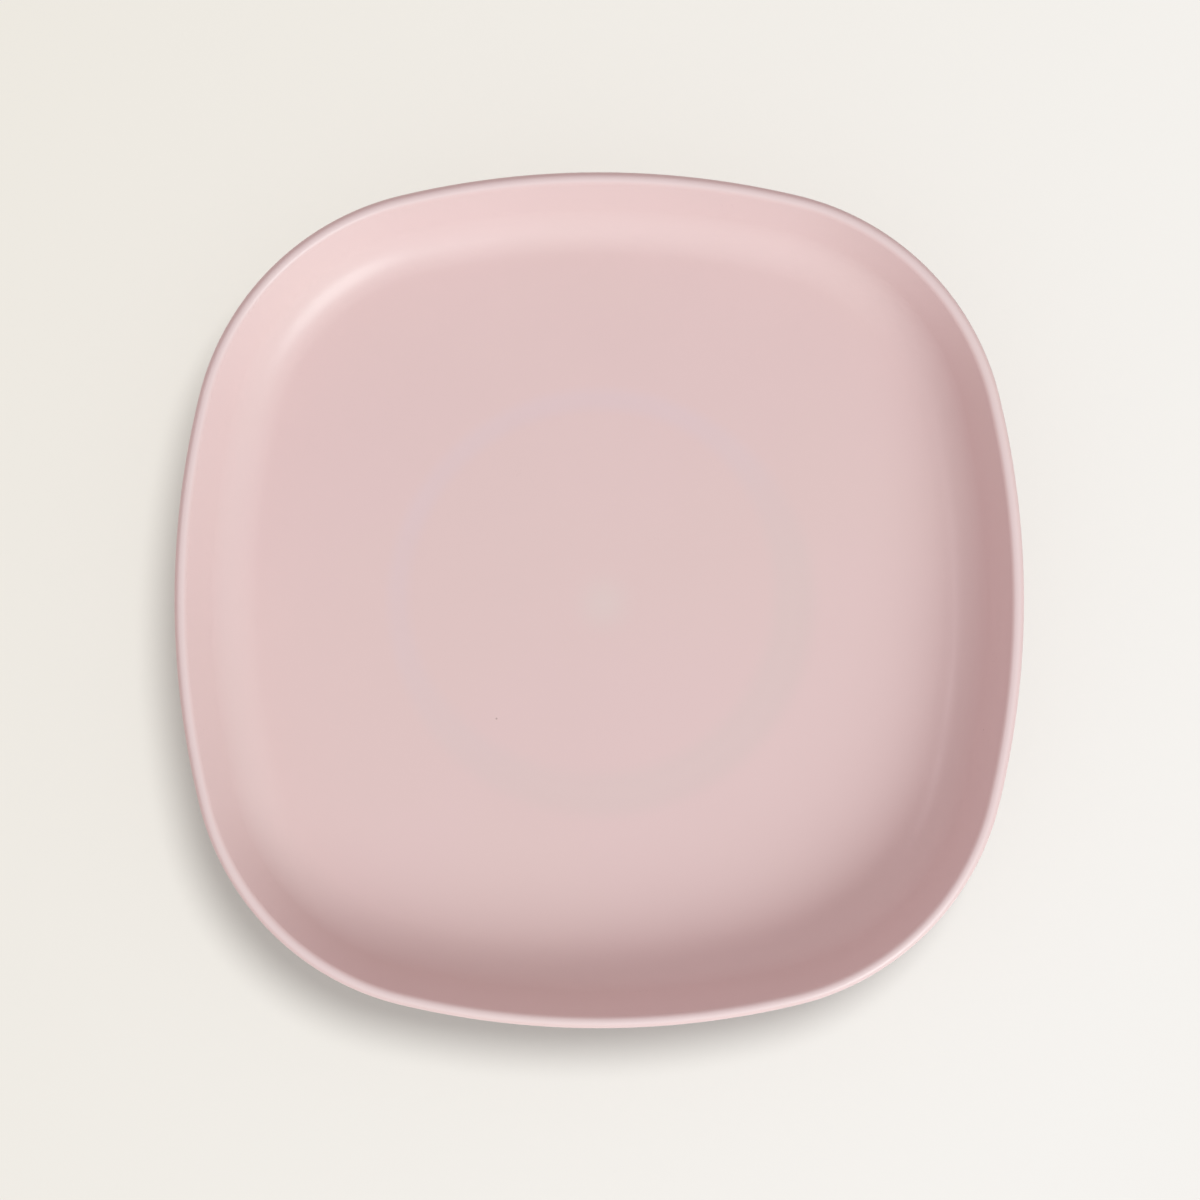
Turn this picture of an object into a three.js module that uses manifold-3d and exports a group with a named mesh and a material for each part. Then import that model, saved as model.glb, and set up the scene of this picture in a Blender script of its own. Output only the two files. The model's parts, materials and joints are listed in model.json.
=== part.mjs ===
// Suction plate: a rounded-square plate on a silicone suction foot.
// The plate is one rigid moulding. The foot ring under its floor plugs into the channel of the silicone foot,
// which ends in a flared skirt that seals on the table and a tab that breaks the seal.
// Millimetres, +Z up. The origin is on the table under the middle of the plate, and the tab points to -Y.
import * as THREE from "three";
import { mergeVertices } from "three/addons/utils/BufferGeometryUtils.js";
import Module from "manifold-3d";

// Plate: outline over the rim
const PLATE_WIDTH = 200;
const PLATE_LENGTH = 201.5;
const SIDE_RADIUS = 202; // bow of each of the four sides
const CORNER_RADIUS = 64;

// Plate: section through the wall
const SHELL = 3; // floor and wall, and the rim's full round
const WELL_DEPTH = 19; // from the floor to the top of the rim
const WALL_SLOPE = 67; // degrees up from the floor
const WELL_FILLET = 12; // between floor and wall, inside

// Plate: underside
const FOOT_RING_RADIUS = 48; // to the middle of its wall
const FOOT_RING_WALL = 2.4;
const FOOT_RING_HEIGHT = 6;
const FOOT_RING_EDGE = 0.6; // rounding of its lower edges
const GATE_RADIUS = 4; // dimple where the plastic was shot in
const GATE_DEPTH = 0.6;
const GATE_DRAFT = 0.4; // how much wider the dimple is at its mouth

// Silicone foot
const GRIP_CLEARANCE = 0.3; // between the foot ring and its channel
const GRIP_WALL = 2.2; // either side of the channel
const GRIP_FLOOR = 2.2; // under the channel
const GRIP_EDGE = 0.8; // rounding of the top edges away from the channel
const MEMBRANE = 1.6;
const MEMBRANE_RISE = 2.2; // how far the middle is domed up
const MEMBRANE_LIFT = 1.2; // from the foot's base up to the edge of the dome

// Silicone skirt
const LIP_HEIGHT = 3; // from the table to the foot's base
const LIP_THICKNESS = 1.5;
const LIP_EDGE = 0.8; // thickness at its outer edge
const FLARE_RADIUS = 7.2; // hollow curve from the foot's wall out to the lip's edge
const FLEX_GAP = 0.3; // slit between silicone pieces that move apart

// Silicone tab
const TAB_REACH = 21; // beyond the lip's edge
const TAB_WIDTH = 20;
const TAB_THICKNESS = 2;
const TAB_LIFT = 0.8; // off the table
const TAB_EDGE = 0.4; // rounding of its edges
const TAB_ROOT = 4; // fillet on each side where it leaves the lip
const RIB_COUNT = 3;
const RIB_PITCH = 3.2;
const RIB_RADIUS = 0.8;
const RIB_LENGTH = 9; // straight part
const RIB_INSET = 6; // from the tab's tip to the middle of the first rib

// Facets
const SIDE_STEPS = 4; // half a side of the outline
const CORNER_STEPS = 12;
const TURN_STEPS = 64; // once round the silicone foot
const BEND_STEPS = 6; // large curves in a section
const RIM_STEPS = 3; // a quarter of the rim
const EDGE_STEPS = 2; // small roundings
const TAB_STEPS = 8; // half the tab's round end

const UP = Math.PI / 2;
const DOWN = -Math.PI / 2;
const LEFT = Math.PI;
const TOUCH = 1e-6; // points closer than this are one

// Radii that the foot ring and its channel share
const RING_IN = FOOT_RING_RADIUS - FOOT_RING_WALL / 2;
const RING_OUT = FOOT_RING_RADIUS + FOOT_RING_WALL / 2;
const CHANNEL_IN = RING_IN - GRIP_CLEARANCE;
const CHANNEL_OUT = RING_OUT + GRIP_CLEARANCE;
const GRIP_IN = CHANNEL_IN - GRIP_WALL;
const GRIP_OUT = CHANNEL_OUT + GRIP_WALL;

// Heights above the table, from the foot's base up
const CHANNEL_BED = LIP_HEIGHT + GRIP_FLOOR;
const RING_BOTTOM = CHANNEL_BED + GRIP_CLEARANCE;
const UNDERSIDE = RING_BOTTOM + FOOT_RING_HEIGHT;
const GRIP_TOP = UNDERSIDE - GRIP_CLEARANCE;
const WELL_FLOOR = UNDERSIDE + SHELL;
const RIM_TOP = WELL_FLOOR + WELL_DEPTH;

// Middle of the hollow curve that runs from the foot's wall into the skirt, and the skirt's outer radius
const FLARE = at(GRIP_OUT + FLARE_RADIUS, LIP_EDGE + FLARE_RADIUS);
const LIP_OUT = FLARE.x + LIP_EDGE / 2;

const wasm = await Module();
wasm.setup();

function at(x, y) {
  return new THREE.Vector2(x, y);
}

// Points of an arc, which turns the way that leads straight from the first angle to the last.
function arc(middle, radius, first, last, steps) {
  const curve = new THREE.EllipseCurve(middle.x, middle.y, radius, radius, first, last, first > last);
  return curve.getPoints(steps);
}

// One section from its stretches, without the points that two stretches share.
function join(...stretches) {
  return stretches.flat().filter((point, k, all) => k === 0 || point.distanceTo(all[k - 1]) > TOUCH);
}

// Solid of revolution about +Z. The section is in radius and height, and runs outwards along its lower side.
function revolve(section, steps) {
  return new THREE.LatheGeometry(section, steps).rotateX(UP);
}

function toSolid(geometry) {
  geometry.deleteAttribute("normal");
  geometry.deleteAttribute("uv");
  const merged = mergeVertices(geometry);
  const vertProperties = new Float32Array(merged.attributes.position.array);
  const triVerts = new Uint32Array(merged.index.array);
  return new wasm.Manifold(new wasm.Mesh({ numProp: 3, vertProperties, triVerts }));
}

function toGeometry(solid) {
  const mesh = solid.getMesh();
  const geometry = new THREE.BufferGeometry();
  geometry.setAttribute("position", new THREE.BufferAttribute(mesh.vertProperties, 3));
  geometry.setIndex(new THREE.BufferAttribute(mesh.triVerts, 1));
  geometry.computeVertexNormals();
  return geometry;
}

// The plate's outline is four side arcs with a corner arc between each two, all meeting smoothly.
const RIGHT_SIDE = at(PLATE_WIDTH / 2 - SIDE_RADIUS, 0); // middle of the right side's arc
const BACK_SIDE = at(0, PLATE_LENGTH / 2 - SIDE_RADIUS);
const CORNER = cornerMiddle();
const CORNER_START = CORNER.clone().sub(RIGHT_SIDE).angle();
const CORNER_END = CORNER.clone().sub(BACK_SIDE).angle();

// A corner arc's middle lies SIDE_RADIUS - CORNER_RADIUS away from the middles of both its side arcs.
function cornerMiddle() {
  const across = BACK_SIDE.clone().sub(RIGHT_SIDE);
  const reach = SIDE_RADIUS - CORNER_RADIUS;
  const height = Math.sqrt(reach ** 2 - across.lengthSq() / 4);
  const outwards = at(-across.y, across.x).normalize();
  return RIGHT_SIDE.clone().lerp(BACK_SIDE, 0.5).addScaledVector(outwards, height);
}

// Point of the outline where its normal has this direction, moved inwards along that normal.
function outlinePoint(direction, inset) {
  const normal = at(Math.cos(direction), Math.sin(direction));
  const folded = Math.atan2(Math.abs(normal.y), Math.abs(normal.x));
  const onSide = folded < CORNER_START || folded > CORNER_END;
  const side = folded < CORNER_START ? RIGHT_SIDE : BACK_SIDE;
  const middle = onSide ? side : CORNER;
  const reach = (onSide ? SIDE_RADIUS : CORNER_RADIUS) - inset;
  const x = Math.sign(normal.x) * middle.x + reach * normal.x;
  const y = Math.sign(normal.y) * middle.y + reach * normal.y;
  return at(x, y);
}

// Directions of the outline's normal, once round from -Y, closer together on the corners.
function outlineDirections() {
  const directions = [];
  for (let quarter = 0; quarter < 4; quarter++) {
    const start = (quarter - 1) * UP;
    const fromRight = [0, CORNER_START, CORNER_END, UP];
    const fromBack = [0, UP - CORNER_END, UP - CORNER_START, UP];
    const stops = quarter % 2 ? fromRight : fromBack;
    [SIDE_STEPS, CORNER_STEPS, SIDE_STEPS].forEach((steps, stretch) => {
      for (let step = 0; step < steps; step++) {
        directions.push(start + THREE.MathUtils.lerp(stops[stretch], stops[stretch + 1], step / steps));
      }
    });
  }
  return directions;
}

// Section through the middle of the plate's right side, from the axis along the underside and over the rim.
const SLOPE = THREE.MathUtils.degToRad(WALL_SLOPE);
const RIM = at(PLATE_WIDTH / 2 - SHELL / 2, RIM_TOP - SHELL / 2); // middle of the rim's round
const BEND = bendMiddle(); // middle of the fillet, inside and out

function bendMiddle() {
  const intoWell = at(-Math.sin(SLOPE), Math.cos(SLOPE));
  const downWall = at(-Math.cos(SLOPE), -Math.sin(SLOPE));
  const start = RIM.clone().addScaledVector(intoWell, SHELL / 2 + WELL_FILLET);
  const wallLength = (start.y - WELL_FLOOR - WELL_FILLET) / Math.sin(SLOPE);
  return start.addScaledVector(downWall, wallLength);
}

function plateSection() {
  const edgeHeight = RING_BOTTOM + FOOT_RING_EDGE;
  const gateTop = UNDERSIDE + GATE_DEPTH;
  return join(
    [at(0, gateTop), at(GATE_RADIUS, gateTop), at(GATE_RADIUS + GATE_DRAFT, UNDERSIDE)],
    [at(RING_IN, UNDERSIDE)],
    arc(at(RING_IN + FOOT_RING_EDGE, edgeHeight), FOOT_RING_EDGE, -LEFT, DOWN, EDGE_STEPS),
    arc(at(RING_OUT - FOOT_RING_EDGE, edgeHeight), FOOT_RING_EDGE, DOWN, 0, EDGE_STEPS),
    [at(RING_OUT, UNDERSIDE)],
    arc(BEND, WELL_FILLET + SHELL, DOWN, SLOPE - UP, BEND_STEPS),
    arc(RIM, SHELL / 2, SLOPE - UP, 0, 1),
    arc(RIM, SHELL / 2, 0, UP, RIM_STEPS),
    arc(RIM, SHELL / 2, UP, SLOPE + UP, RIM_STEPS),
    arc(BEND, WELL_FILLET, SLOPE - UP, DOWN, BEND_STEPS),
    [at(0, WELL_FLOOR)],
  );
}

// The plate is revolved, and then every ring outside the foot ring is moved onto the outline.
function plateShell() {
  const section = plateSection();
  const directions = outlineDirections();
  const geometry = revolve(section, directions.length);
  const position = geometry.attributes.position;
  const lastRound = (RING_OUT + BEND.x) / 2;
  for (let vertex = 0; vertex < position.count; vertex++) {
    const radius = section[vertex % section.length].x;
    const direction = directions[Math.floor(vertex / section.length) % directions.length];
    if (radius > lastRound) {
      const point = outlinePoint(direction, PLATE_WIDTH / 2 - radius);
      position.setXY(vertex, point.x, point.y);
    }
  }
  return geometry;
}

// Channel that grips the foot ring, and the domed membrane inside it.
function suctionFoot() {
  const domeEdge = LIP_HEIGHT + MEMBRANE_LIFT;
  const domeRadius = (GRIP_IN ** 2 + MEMBRANE_RISE ** 2) / (2 * MEMBRANE_RISE);
  const dome = at(0, domeEdge + MEMBRANE_RISE - domeRadius);
  const lowerEdge = Math.acos(GRIP_IN / domeRadius);
  const upperEdge = Math.acos(GRIP_IN / (domeRadius + MEMBRANE));
  const edgeHeight = GRIP_TOP - GRIP_EDGE;
  const section = join(
    arc(dome, domeRadius, UP, lowerEdge, BEND_STEPS),
    [at(CHANNEL_IN, LIP_HEIGHT)],
    arc(FLARE, FLARE_RADIUS, flareAngle(FLARE_RADIUS, LIP_HEIGHT), LEFT, BEND_STEPS),
    arc(at(GRIP_OUT - GRIP_EDGE, edgeHeight), GRIP_EDGE, 0, UP, EDGE_STEPS),
    [at(CHANNEL_OUT, GRIP_TOP), at(CHANNEL_OUT, CHANNEL_BED)],
    [at(CHANNEL_IN, CHANNEL_BED), at(CHANNEL_IN, GRIP_TOP)],
    arc(at(GRIP_IN + GRIP_EDGE, edgeHeight), GRIP_EDGE, UP, LEFT, EDGE_STEPS),
    arc(dome, domeRadius + MEMBRANE, upperEdge, UP, BEND_STEPS),
  );
  return revolve(section, TURN_STEPS);
}

// Angle about the flare's middle at which a curve of this radius comes down to this height.
function flareAngle(radius, height) {
  return LEFT + Math.asin((FLARE.y - height) / radius);
}

// Radius of the foot's outside at this height on the hollow curve.
function flareReach(height) {
  return FLARE.x + FLARE_RADIUS * Math.cos(flareAngle(FLARE_RADIUS, height));
}

// Thin skirt that carries the foot's hollow curve on down to the table.
function suctionLip() {
  const top = LIP_HEIGHT - FLEX_GAP;
  const inside = FLARE_RADIUS + LIP_THICKNESS;
  const edge = at(FLARE.x, LIP_EDGE / 2);
  const seat = arc(FLARE, inside, flareAngle(inside, top), flareAngle(inside, 0), BEND_STEPS);
  const section = join(
    arc(edge, LIP_EDGE / 2, DOWN, UP, 2 * EDGE_STEPS),
    arc(FLARE, FLARE_RADIUS, LEFT + UP, flareAngle(FLARE_RADIUS, top), BEND_STEPS),
    seat,
    [at(FLARE.x, 0)],
  );
  return revolve(section, TURN_STEPS);
}

// Space that the skirt takes up, with the slit round it.
function lipRoom() {
  const top = LIP_EDGE + FLEX_GAP;
  const section = join(
    [at(0, -FLEX_GAP), at(LIP_OUT + FLEX_GAP, -FLEX_GAP), at(LIP_OUT + FLEX_GAP, top)],
    arc(FLARE, FLARE_RADIUS - FLEX_GAP, LEFT + UP, LEFT, BEND_STEPS),
    [at(0, FLARE.y)],
  );
  return revolve(section, TURN_STEPS);
}

// Tongue with a round end, a filleted root and ribs across it, cut to sit on the skirt.
function releaseTab() {
  const halfWidth = TAB_WIDTH / 2;
  const tip = -LIP_OUT - TAB_REACH;
  const root = -LIP_OUT - TAB_ROOT;
  const start = -flareReach(LIP_HEIGHT) - FLEX_GAP; // clear of the foot's base, which comes down past the tab
  const outline = new THREE.Shape();
  outline.absarc(0, tip + halfWidth, halfWidth, -LEFT, 0);
  outline.absarc(halfWidth + TAB_ROOT, root, TAB_ROOT, LEFT, UP, true);
  outline.lineTo(halfWidth + TAB_ROOT, start);
  outline.lineTo(-halfWidth - TAB_ROOT, start);
  outline.absarc(-halfWidth - TAB_ROOT, root, TAB_ROOT, UP, 0, true);
  const tongue = new THREE.ExtrudeGeometry(outline, {
    depth: TAB_THICKNESS - 2 * TAB_EDGE,
    curveSegments: TAB_STEPS,
    bevelSize: TAB_EDGE,
    bevelOffset: -TAB_EDGE,
    bevelThickness: TAB_EDGE,
    bevelSegments: EDGE_STEPS,
  });
  tongue.translate(0, 0, TAB_LIFT + TAB_EDGE);
  let tab = toSolid(tongue).subtract(toSolid(lipRoom()));
  for (let rib = 0; rib < RIB_COUNT; rib++) {
    const bar = new THREE.CapsuleGeometry(RIB_RADIUS, RIB_LENGTH, EDGE_STEPS, 4 * EDGE_STEPS);
    bar.rotateZ(UP);
    bar.translate(0, tip + RIB_INSET + rib * RIB_PITCH, TAB_LIFT + TAB_THICKNESS);
    tab = tab.add(toSolid(bar));
  }
  return toGeometry(tab);
}

const satinPink = { color: 0xe0c4c2, roughness: 0.45, metalness: 0 };
const siliconePink = { color: 0xcfa9a6, roughness: 0.6, metalness: 0 };

const suctionPlate = new THREE.Group();
const pieces = [
  ["plate_shell", plateShell, satinPink],
  ["suction_foot", suctionFoot, siliconePink],
  ["suction_lip", suctionLip, siliconePink],
  ["release_tab", releaseTab, siliconePink],
];
for (const [name, make, finish] of pieces) {
  const mesh = new THREE.Mesh(make(), new THREE.MeshStandardMaterial(finish));
  mesh.name = name;
  suctionPlate.add(mesh);
}

export default suctionPlate;
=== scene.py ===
"""Suction plate: a rounded-square plate in satin plastic on a silicone suction foot.

Laid out as an add-on: the sizes, finishes and light are properties, each piece and the stage is an operator, and the
panel in the sidebar lists them. Metres, +Z up. The origin is on the table under the middle of the plate, and the
release tab points to -Y.
"""
import json
import math

import bmesh
import bpy
from bpy.props import FloatProperty, FloatVectorProperty, IntProperty, PointerProperty
from mathutils import Matrix, Vector


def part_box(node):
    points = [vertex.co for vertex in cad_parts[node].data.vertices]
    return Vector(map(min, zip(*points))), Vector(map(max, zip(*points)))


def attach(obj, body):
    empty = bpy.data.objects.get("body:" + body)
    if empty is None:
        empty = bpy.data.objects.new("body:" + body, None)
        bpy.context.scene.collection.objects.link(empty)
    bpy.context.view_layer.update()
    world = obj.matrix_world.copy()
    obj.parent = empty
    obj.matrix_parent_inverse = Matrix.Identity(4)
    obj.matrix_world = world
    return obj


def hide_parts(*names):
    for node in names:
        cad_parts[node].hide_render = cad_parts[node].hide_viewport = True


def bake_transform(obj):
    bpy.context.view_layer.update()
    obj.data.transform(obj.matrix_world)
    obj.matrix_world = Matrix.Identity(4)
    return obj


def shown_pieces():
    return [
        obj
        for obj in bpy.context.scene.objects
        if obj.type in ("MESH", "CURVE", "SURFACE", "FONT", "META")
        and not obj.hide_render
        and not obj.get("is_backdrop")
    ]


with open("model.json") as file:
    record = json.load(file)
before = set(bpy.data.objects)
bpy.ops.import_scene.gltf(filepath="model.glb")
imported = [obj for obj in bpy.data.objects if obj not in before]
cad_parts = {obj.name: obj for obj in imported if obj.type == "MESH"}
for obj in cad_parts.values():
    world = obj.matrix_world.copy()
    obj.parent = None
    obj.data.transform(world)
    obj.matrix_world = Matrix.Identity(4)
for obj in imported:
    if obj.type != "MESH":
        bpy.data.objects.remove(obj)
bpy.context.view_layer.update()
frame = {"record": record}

bl_info = {
    "name": "Suction plate",
    "version": (1, 0, 0),
    "blender": (4, 5, 0),
    "location": "3D View > Sidebar > Plate",
    "description": "Builds a suction plate and the stage that it stands on",
    "category": "Add Mesh",
}

plate_low, plate_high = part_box("plate_shell")
foot_low, foot_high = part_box("suction_foot")
tab_low, tab_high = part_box("release_tab")
slot_colour = {entry["slot"]: entry["base_color"] for entry in frame["record"]["materials"]}

UP = Vector((0, 0, 1))
TOWARDS_FRONT = Vector((0, -1, 0))  # turning about it lifts a section's outer end
SAME = 2e-6  # points closer than this are one
NEAR = 3e-5  # a corner this close to a ring is on it
SMOOTH_BELOW = math.radians(35)  # faces that meet at a smaller angle are shaded as one


def length(name, description, default):
    """Property for a distance in metres."""
    return FloatProperty(
        name=name, description=description, default=default, precision=5, subtype='DISTANCE', unit='LENGTH')


def angle(name, description, degrees):
    """Property for an angle."""
    return FloatProperty(
        name=name, description=description, default=math.radians(degrees), subtype='ANGLE', unit='ROTATION')


def share(name, description, default):
    """Property for a plain number from nothing to all."""
    return FloatProperty(
        name=name, description=description, default=default, min=0, max=1, precision=4, subtype='FACTOR')


def number(name, description, default, least=0):
    """Property for a plain number."""
    return FloatProperty(name=name, description=description, default=default, min=least, precision=5)


def colour(name, description, default):
    """Property for a linear colour, or for a tint that a colour is multiplied by."""
    return FloatVectorProperty(
        name=name, description=description, default=default, size=3, min=0, max=2, subtype='COLOR')


class PlateSizes(bpy.types.PropertyGroup):
    """Sizes of the plate"""
    width: length("Width", "Over the rim, left to right", plate_high.x - plate_low.x)
    depth: length("Length", "Over the rim, front to back", plate_high.y - plate_low.y)
    rim_top: length("Rim top", "Height of the rim above the table", plate_high.z)
    side_radius: length("Side bow", "Radius of each of the four sides", 0.202)
    corner_radius: length("Corner radius", "Radius of the four corners", 0.064)
    shell: length("Shell", "Thickness of floor and wall", 0.003)
    rim_round: length("Rim round", "Thickness of the rim, which is fully round", 0.0032)
    # Painted highlight: over this height the top of the rim is painted paler and cooler.
    rim_highlight_fade: length("Rim fade", "Height over which the rim turns paler towards its top", 0.0004)
    well_depth: length("Well depth", "From the floor to the top of the rim", 0.019)
    wall_slope: angle("Wall slope", "Of the wall, up from the floor", 67)
    well_fillet: length("Well fillet", "Radius between floor and wall, inside", 0.012)
    ring_radius: length("Foot ring radius", "To the middle of its wall", 0.048)
    ring_wall: length("Foot ring wall", "Thickness of the foot ring", 0.0024)
    ring_height: length("Foot ring height", "Below the underside", 0.006)
    ring_edge: length("Foot ring edge", "Rounding of its lower edges", 0.0006)
    ring_root: length("Foot ring root", "Fillet where it leaves the underside", 0.0005)
    gate_radius: length("Gate radius", "Dimple in the middle of the underside", 0.004)
    gate_depth: length("Gate depth", "Depth of the dimple", 0.0006)
    gate_draft: length("Gate draft", "How much wider the dimple is at its mouth", 0.0004)
    mark_half_width: length("Mark width", "Half the width of the sunk ring over the foot ring", 0.0042)
    mark_sink: length("Mark sink", "Depth of the sunk ring and of the sunk spot", 0.00003)
    spot_radius: length("Spot radius", "Sunk spot over the gate", 0.0072)
    spot_right: length("Spot to the right", "Of the paler spot over the gate", 0.001)
    spot_front: length("Spot to the front", "Of the paler spot over the gate", 0.0006)


class SiliconeSizes(bpy.types.PropertyGroup):
    """Sizes of the silicone foot"""
    base: length("Base", "Height of the foot's base above the table", foot_low.z)
    top: length("Top", "Height of the channel's walls above the table", foot_high.z)
    clearance: length("Clearance", "Between the foot ring and its channel", 0.0003)
    grip_wall: length("Channel wall", "Either side of the channel", 0.0022)
    grip_floor: length("Channel floor", "Under the channel", 0.0022)
    grip_edge: length("Channel edge", "Rounding of the top edges away from the channel", 0.0008)
    membrane: length("Membrane", "Thickness of the domed membrane", 0.0016)
    membrane_rise: length("Membrane rise", "How far its middle is domed up", 0.0022)
    membrane_lift: length("Membrane lift", "From the foot's base up to the edge of the dome", 0.0012)
    base_edge: length("Base edge", "Rounding of the base's inner edge", 0.0006)
    lip_thickness: length("Lip thickness", "Of the skirt where it leaves the foot", 0.0015)
    lip_edge: length("Lip edge", "Thickness at the skirt's outer edge", 0.0008)
    flare_radius: length("Flare radius", "Hollow curve from the foot's wall to the lip's edge", 0.0072)
    tab_width: length("Tab width", "Across the tab", 0.02)
    tab_thickness: length("Tab thickness", "Of the tab without its ribs", 0.002)
    tab_edge: length("Tab edge", "Rounding of the tab's edges", 0.0004)
    tab_root: length("Tab root", "Fillet on each side where the tab leaves the lip", 0.004)
    rib_count: IntProperty(name="Ribs", description="Grip ribs across the tab", default=3, min=0)
    rib_pitch: length("Rib pitch", "From rib to rib", 0.0032)
    rib_radius: length("Rib radius", "Of each rib", 0.0008)
    rib_length: length("Rib length", "Straight part of each rib", 0.009)
    rib_inset: length("Rib inset", "From the tab's tip to the first rib", 0.006)


class Finishes(bpy.types.PropertyGroup):
    """Colours and gloss"""
    plate_pink: colour("Plate", "Satin plastic of the plate", slot_colour["plate_plastic"][:3])
    plate_gloss: share("Plate roughness", "Roughness of the satin plastic", 0.32)
    plate_shine: share("Plate shine", "Strength of the satin plastic's reflections", 0.33)
    plate_cooler: colour("Cooler plate", "Tint where the plate is cooler", (0.998, 0.990, 1.002))
    # Painted highlight, not polish: this tint makes the top of the rim paler and cooler to stand in for the light that
    # its crest catches.
    rim_highlight_tint: colour("Rim", "Tint on top of the rim, where it is polished", (1.035, 1.10, 1.11))
    mark_back: colour("Ring mark, back", "Tint over the foot ring", (0.982, 1.008, 1.041))
    mark_front: colour("Ring mark, front", "Tint at the front, where the mark is broader", (0.963, 0.999, 0.990))
    spot_tint: colour("Gate mark", "Tint over the gate", (0.984, 1.045, 1.034))
    plate_speck: colour("Speck", "Small dark specks in the plastic", (0.40, 0.27, 0.25))
    silicone_pink: colour("Silicone", "Matt silicone of the foot", slot_colour["foot_silicone"][:3])
    silicone_gloss: share("Silicone roughness", "Roughness of the silicone", 0.62)
    silicone_lint: colour("Lint", "Pale lint on the silicone", (0.74, 0.62, 0.60))


class StageSettings(bpy.types.PropertyGroup):
    """Camera, floor and light"""
    camera_height: length("Camera height", "Above the table", 1.232)
    lens: FloatProperty(
        name="Lens", description="Focal length", default=152.95, subtype='DISTANCE_CAMERA', unit='CAMERA')
    shift_right: number("Shift right", "Share of the frame", 0.00063, -1)
    shift_up: number("Shift up", "Share of the frame", 0.0002, -1)
    # Painted light: these two tones make the floor darker at the back left and lighter at the front right.
    floor_left: colour("Floor, left", "Tone that the floor shows at the back left", (0.819, 0.808, 0.743))
    floor_right: colour("Floor, right", "Tone that the floor shows at the front right", (0.883, 0.889, 0.857))
    floor_paint: share("Floor paint", "Share of its tone that the floor has as paint", 0.566)
    floor_plain: share("Floor plain", "Share of its tone that the floor shows without light", 0.27)
    sky: share("Sky", "Strength of the even light from all sides", 0.551)
    sky_colour: colour("Sky colour", "Slightly warm, as thrown back by walls", (1.0, 0.908, 0.911))
    key_from: angle("Key light", "Direction that it comes from, from the right towards the back", -53)
    key_height: angle("Key height", "Above the table", 36.2)
    key_softness: angle("Key softness", "How wide the light is", 34)
    key_distance: length("Key distance", "From the plate", 2.8)
    key_power: number("Key power", "Strength of the key light", 2.29)
    key_colour: colour("Key colour", "Slightly cool", (0.832, 1.0, 0.995))
    fill_from: angle("Fill light", "Direction that it comes from", 170)
    fill_height: angle("Fill height", "Above the table", 58)
    fill_softness: angle("Fill softness", "How wide the light is", 12)
    fill_power: number("Fill power", "Strength of the fill light", 0.27)
    fill_colour: colour("Fill colour", "Slightly warm", (1.0, 0.88, 0.92))
    floor_from: angle("Floor light", "Direction that the floor's light comes from", 56)
    floor_height: angle("Floor light height", "Above the table", 71)
    floor_softness: angle("Floor light softness", "How wide the light is", 20)
    floor_power: number("Floor light power", "Strength of the floor's light", 2.70)
    floor_colour: colour("Floor light colour", "White", (1.0, 1.0, 1.0))
    under_power: number("Under light power", "Strength of the light under the foot", 0.01)


# Drawing and picking in edit mode

def at(radius, height):
    """Point of a section, which stands in the plane y = 0."""
    return Vector((radius, 0, height))


def polar(middle, radius, turn):
    """Point of a section on an arc."""
    return middle + at(radius * math.cos(turn), radius * math.sin(turn))


def clear_selection():
    """Leave edit mode and deselect every object."""
    if bpy.context.mode != 'OBJECT':
        bpy.ops.object.mode_set(mode='OBJECT')
    bpy.ops.object.select_all(action='DESELECT')


def pick_object(piece):
    """Select only this object."""
    clear_selection()
    bpy.context.view_layer.objects.active = piece
    piece.select_set(True)


def spin(middle, axis, turn, steps):
    """Spin what is selected about an axis. The operator itself turns clockwise."""
    bpy.ops.mesh.spin(steps=steps, angle=-turn, center=middle, axis=axis)


class Chain:
    """Edges drawn one after the other in edit mode, each from the last corner."""

    def __init__(self, name, start):
        clear_selection()
        bpy.ops.mesh.primitive_plane_add(size=0.001, location=start)
        bpy.ops.object.transform_apply(location=True, rotation=True, scale=True)
        self.piece = bpy.context.object
        self.piece.name = name
        self.piece.data.name = name
        bpy.ops.object.mode_set(mode='EDIT')
        bpy.ops.mesh.select_mode(type='VERT')
        bpy.ops.mesh.merge(type='CENTER')
        self.end = Vector(start)

    def line(self, *corners):
        """Straight edges to these corners."""
        for corner in corners:
            bpy.ops.mesh.extrude_vertices_move(TRANSFORM_OT_translate={"value": corner - self.end})
            self.end = Vector(corner)

    def arc(self, middle, turn, steps, axis=TOWARDS_FRONT):
        """Arc of short edges about a middle."""
        spin(middle, axis, turn, steps)
        self.end = middle + Matrix.Rotation(turn, 3, axis) @ (self.end - middle)

    def revolve(self, steps):
        """Turn the whole chain once about the upright axis."""
        bpy.ops.mesh.select_all(action='SELECT')
        spin(Vector(), UP, math.tau, steps)
        merge_corners()


def merge_corners():
    """Merge corners that lie together and turn all faces outwards."""
    bpy.ops.mesh.select_all(action='SELECT')
    bpy.ops.mesh.remove_doubles(threshold=SAME)
    bpy.ops.mesh.normals_make_consistent(inside=False)


def pick(piece, kind, wanted):
    """Select only the edges or faces that are wanted."""
    bpy.ops.mesh.select_mode(type=kind)
    bpy.ops.mesh.select_all(action='DESELECT')
    mesh = bmesh.from_edit_mesh(piece.data)
    found = [part for part in (mesh.edges if kind == 'EDGE' else mesh.faces) if wanted(part)]
    if not found:
        raise RuntimeError(f"nothing to pick on {piece.name}")
    for part in found:
        part.select_set(True)
    mesh.select_flush_mode()
    bmesh.update_edit_mesh(piece.data)


def on_ring(radius, height):
    """Test for an edge or face whose corners all lie on a level ring about the upright axis."""
    def wanted(part):
        return all(
            abs(corner.co.xy.length - radius) < NEAR and abs(corner.co.z - height) < NEAR
            for corner in part.verts
        )
    return wanted


def open_at(height):
    """Test for a level edge that a face is still missing from."""
    def wanted(edge):
        return len(edge.link_faces) < 2 and all(abs(corner.co.z - height) < NEAR for corner in edge.verts)
    return wanted


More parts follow.
